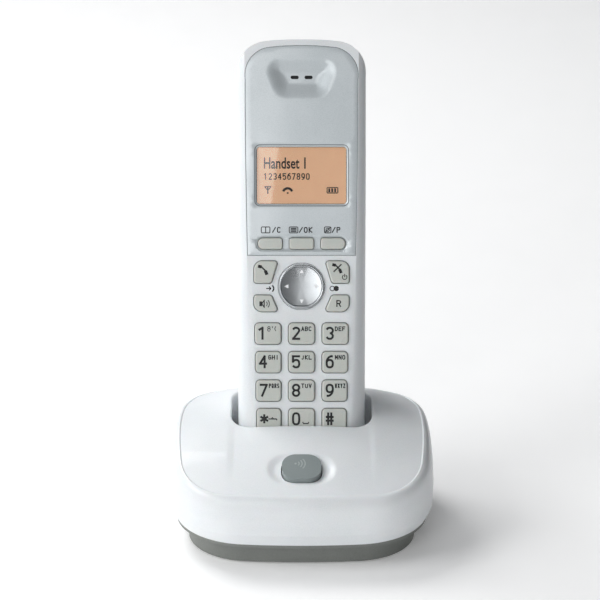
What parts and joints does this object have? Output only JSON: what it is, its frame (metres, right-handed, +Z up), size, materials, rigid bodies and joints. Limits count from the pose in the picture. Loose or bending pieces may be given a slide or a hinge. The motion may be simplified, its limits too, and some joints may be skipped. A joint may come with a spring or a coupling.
{
  "type": "cordless telephone with charging base",
  "caption": "Cordless telephone handset leaning in the pocket of a low rounded charging base, with a display, a keypad, a four-way key and a handset locator button.",
  "frame": {"origin": "centre of the whole object's footprint box at table level", "axes": "+X to the right of someone facing the keypad, +Y away from them, +Z up"},
  "size_m": [0.0986, 0.1148, 0.172],
  "materials": {
    "white_shell": "moulded, satin gloss",
    "grey_plinth": "moulded, fine texture",
    "silver_panel": "silver paint under clear gloss",
    "clear_lens": "clear acrylic",
    "display_cell": "amber backlit liquid crystal",
    "light_guide": "clear amber moulding",
    "plated_key": "satin plated",
    "key_resin": "translucent light grey resin",
    "grey_button": "satin grey",
    "black_plastic": "moulded",
    "foam": "closed cell foam",
    "circuit_board": "solder mask on glass fibre",
    "silicone": "moulded silicone",
    "tinned_steel": "tinned sheet",
    "cell_jacket": "shrink sleeve",
    "spring_steel": "nickel plated wire and strip",
    "gold_contact": "plated contact metal",
    "zinc_screw": "zinc plated",
    "foot_rubber": "moulded rubber"
  },
  "bodies": {
    "base": {"base_top_cover": "white_shell", "base_bottom_cover": "grey_plinth", "rubber_feet": "foot_rubber", "base_screws": "zinc_screw", "locator_switch": "black_plastic", "base_circuit_board": "circuit_board", "base_board_components": "black_plastic", "base_shield_can": "tinned_steel", "base_antennas": "tinned_steel", "power_socket": "black_plastic", "line_socket": "black_plastic", "contact_holder": "black_plastic"},
    "handset": {"handset_front_shell": "white_shell", "handset_rear_shell": "white_shell", "face_panel": "silver_panel", "display_lens": "clear_lens", "lcd_module": "display_cell", "lcd_backlight": "light_guide", "earpiece_speaker": "black_plastic", "earpiece_gasket": "foam", "handset_circuit_board": "circuit_board", "keypad_mat": "silicone", "microphone": "black_plastic", "loudspeaker": "black_plastic", "handset_shield_can": "tinned_steel", "handset_antenna": "tinned_steel", "battery_cell_left": "cell_jacket", "battery_cell_right": "cell_jacket", "battery_springs": "spring_steel", "battery_plates": "spring_steel", "handset_charge_plates": "gold_contact", "handset_screws": "zinc_screw"},
    "battery_cover": {"battery_cover": "white_shell"},
    "locator_button": {"locator_button": "grey_button"},
    "nav_rocker": {"nav_actuator": "silicone"},
    "nav_key": {"nav_key": "plated_key"},
    "charge_contact_left": {"charge_contact_left": "gold_contact"},
    "charge_contact_right": {"charge_contact_right": "gold_contact"},
    "key_1": {"key_1": "key_resin"},
    "key_2": {"key_2": "key_resin"},
    "key_3": {"key_3": "key_resin"},
    "key_4": {"key_4": "key_resin"},
    "key_5": {"key_5": "key_resin"},
    "key_6": {"key_6": "key_resin"},
    "key_7": {"key_7": "key_resin"},
    "key_8": {"key_8": "key_resin"},
    "key_9": {"key_9": "key_resin"},
    "key_star": {"key_star": "key_resin"},
    "key_0": {"key_0": "key_resin"},
    "key_hash": {"key_hash": "key_resin"},
    "talk_key": {"talk_key": "key_resin"},
    "off_key": {"off_key": "key_resin"},
    "speaker_key": {"speaker_key": "key_resin"},
    "recall_key": {"recall_key": "key_resin"},
    "soft_key_left": {"soft_key_left": "key_resin"},
    "soft_key_middle": {"soft_key_middle": "key_resin"},
    "soft_key_right": {"soft_key_right": "key_resin"}
  },
  "joints": [
    {"name": "handset_lift", "type": "slide", "parent": "base", "child": "handset", "axis": [0, 0.3827, 0.9239], "range_m": [0, 0.05]},
    {"name": "battery_cover_slide", "type": "slide", "parent": "handset", "child": "battery_cover", "axis": [0, -0.3827, -0.9239], "range_m": [0, 0.005]},
    {"name": "locator_press", "type": "slide", "parent": "base", "child": "locator_button", "axis": [0, 0, -1], "range_m": [0, 0.0012], "stiffness_N_per_m": 800, "springref_m": -0.0005},
    {"name": "charge_contact_left_press", "type": "slide", "parent": "base", "child": "charge_contact_left", "axis": [0, -0.3827, -0.9239], "range_m": [0, 0.001], "stiffness_N_per_m": 500, "springref_m": -0.0003},
    {"name": "charge_contact_right_press", "type": "slide", "parent": "base", "child": "charge_contact_right", "axis": [0, -0.3827, -0.9239], "range_m": [0, 0.001], "stiffness_N_per_m": 500, "springref_m": -0.0003},
    {"name": "nav_up_down", "type": "hinge", "parent": "handset", "child": "nav_rocker", "pos_m": [0, 0.00788, 0.08543], "axis": [1, 0, 0], "range_deg": [-3.5, 3.5], "stiffness_Nm_per_rad": 0.17},
    {"name": "nav_left_right", "type": "hinge", "parent": "nav_rocker", "child": "nav_key", "pos_m": [0, 0.00788, 0.08543], "axis": [0, 0.3827, 0.9239], "range_deg": [-3.5, 3.5], "stiffness_Nm_per_rad": 0.17},
    {"name": "key_1_press", "type": "slide", "parent": "handset", "child": "key_1", "axis": [0, 0.9239, -0.3827], "range_m": [0, 0.0008], "stiffness_N_per_m": 600, "springref_m": -0.0003},
    {"name": "key_2_press", "type": "slide", "parent": "handset", "child": "key_2", "axis": [0, 0.9239, -0.3827], "range_m": [0, 0.0008], "stiffness_N_per_m": 600, "springref_m": -0.0003},
    {"name": "key_3_press", "type": "slide", "parent": "handset", "child": "key_3", "axis": [0, 0.9239, -0.3827], "range_m": [0, 0.0008], "stiffness_N_per_m": 600, "springref_m": -0.0003},
    {"name": "key_4_press", "type": "slide", "parent": "handset", "child": "key_4", "axis": [0, 0.9239, -0.3827], "range_m": [0, 0.0008], "stiffness_N_per_m": 600, "springref_m": -0.0003},
    {"name": "key_5_press", "type": "slide", "parent": "handset", "child": "key_5", "axis": [0, 0.9239, -0.3827], "range_m": [0, 0.0008], "stiffness_N_per_m": 600, "springref_m": -0.0003},
    {"name": "key_6_press", "type": "slide", "parent": "handset", "child": "key_6", "axis": [0, 0.9239, -0.3827], "range_m": [0, 0.0008], "stiffness_N_per_m": 600, "springref_m": -0.0003},
    {"name": "key_7_press", "type": "slide", "parent": "handset", "child": "key_7", "axis": [0, 0.9239, -0.3827], "range_m": [0, 0.0008], "stiffness_N_per_m": 600, "springref_m": -0.0003},
    {"name": "key_8_press", "type": "slide", "parent": "handset", "child": "key_8", "axis": [0, 0.9239, -0.3827], "range_m": [0, 0.0008], "stiffness_N_per_m": 600, "springref_m": -0.0003},
    {"name": "key_9_press", "type": "slide", "parent": "handset", "child": "key_9", "axis": [0, 0.9239, -0.3827], "range_m": [0, 0.0008], "stiffness_N_per_m": 600, "springref_m": -0.0003},
    {"name": "key_star_press", "type": "slide", "parent": "handset", "child": "key_star", "axis": [0, 0.9239, -0.3827], "range_m": [0, 0.0008], "stiffness_N_per_m": 600, "springref_m": -0.0003},
    {"name": "key_0_press", "type": "slide", "parent": "handset", "child": "key_0", "axis": [0, 0.9239, -0.3827], "range_m": [0, 0.0008], "stiffness_N_per_m": 600, "springref_m": -0.0003},
    {"name": "key_hash_press", "type": "slide", "parent": "handset", "child": "key_hash", "axis": [0, 0.9239, -0.3827], "range_m": [0, 0.0008], "stiffness_N_per_m": 600, "springref_m": -0.0003},
    {"name": "talk_key_press", "type": "slide", "parent": "handset", "child": "talk_key", "axis": [0, 0.9239, -0.3827], "range_m": [0, 0.0008], "stiffness_N_per_m": 600, "springref_m": -0.0003},
    {"name": "off_key_press", "type": "slide", "parent": "handset", "child": "off_key", "axis": [0, 0.9239, -0.3827], "range_m": [0, 0.0008], "stiffness_N_per_m": 600, "springref_m": -0.0003},
    {"name": "speaker_key_press", "type": "slide", "parent": "handset", "child": "speaker_key", "axis": [0, 0.9239, -0.3827], "range_m": [0, 0.0008], "stiffness_N_per_m": 600, "springref_m": -0.0003},
    {"name": "recall_key_press", "type": "slide", "parent": "handset", "child": "recall_key", "axis": [0, 0.9239, -0.3827], "range_m": [0, 0.0008], "stiffness_N_per_m": 600, "springref_m": -0.0003},
    {"name": "soft_key_left_press", "type": "slide", "parent": "handset", "child": "soft_key_left", "axis": [0, 0.9239, -0.3827], "range_m": [0, 0.0008], "stiffness_N_per_m": 600, "springref_m": -0.0003},
    {"name": "soft_key_middle_press", "type": "slide", "parent": "handset", "child": "soft_key_middle", "axis": [0, 0.9239, -0.3827], "range_m": [0, 0.0008], "stiffness_N_per_m": 600, "springref_m": -0.0003},
    {"name": "soft_key_right_press", "type": "slide", "parent": "handset", "child": "soft_key_right", "axis": [0, 0.9239, -0.3827], "range_m": [0, 0.0008], "stiffness_N_per_m": 600, "springref_m": -0.0003}
  ]
}
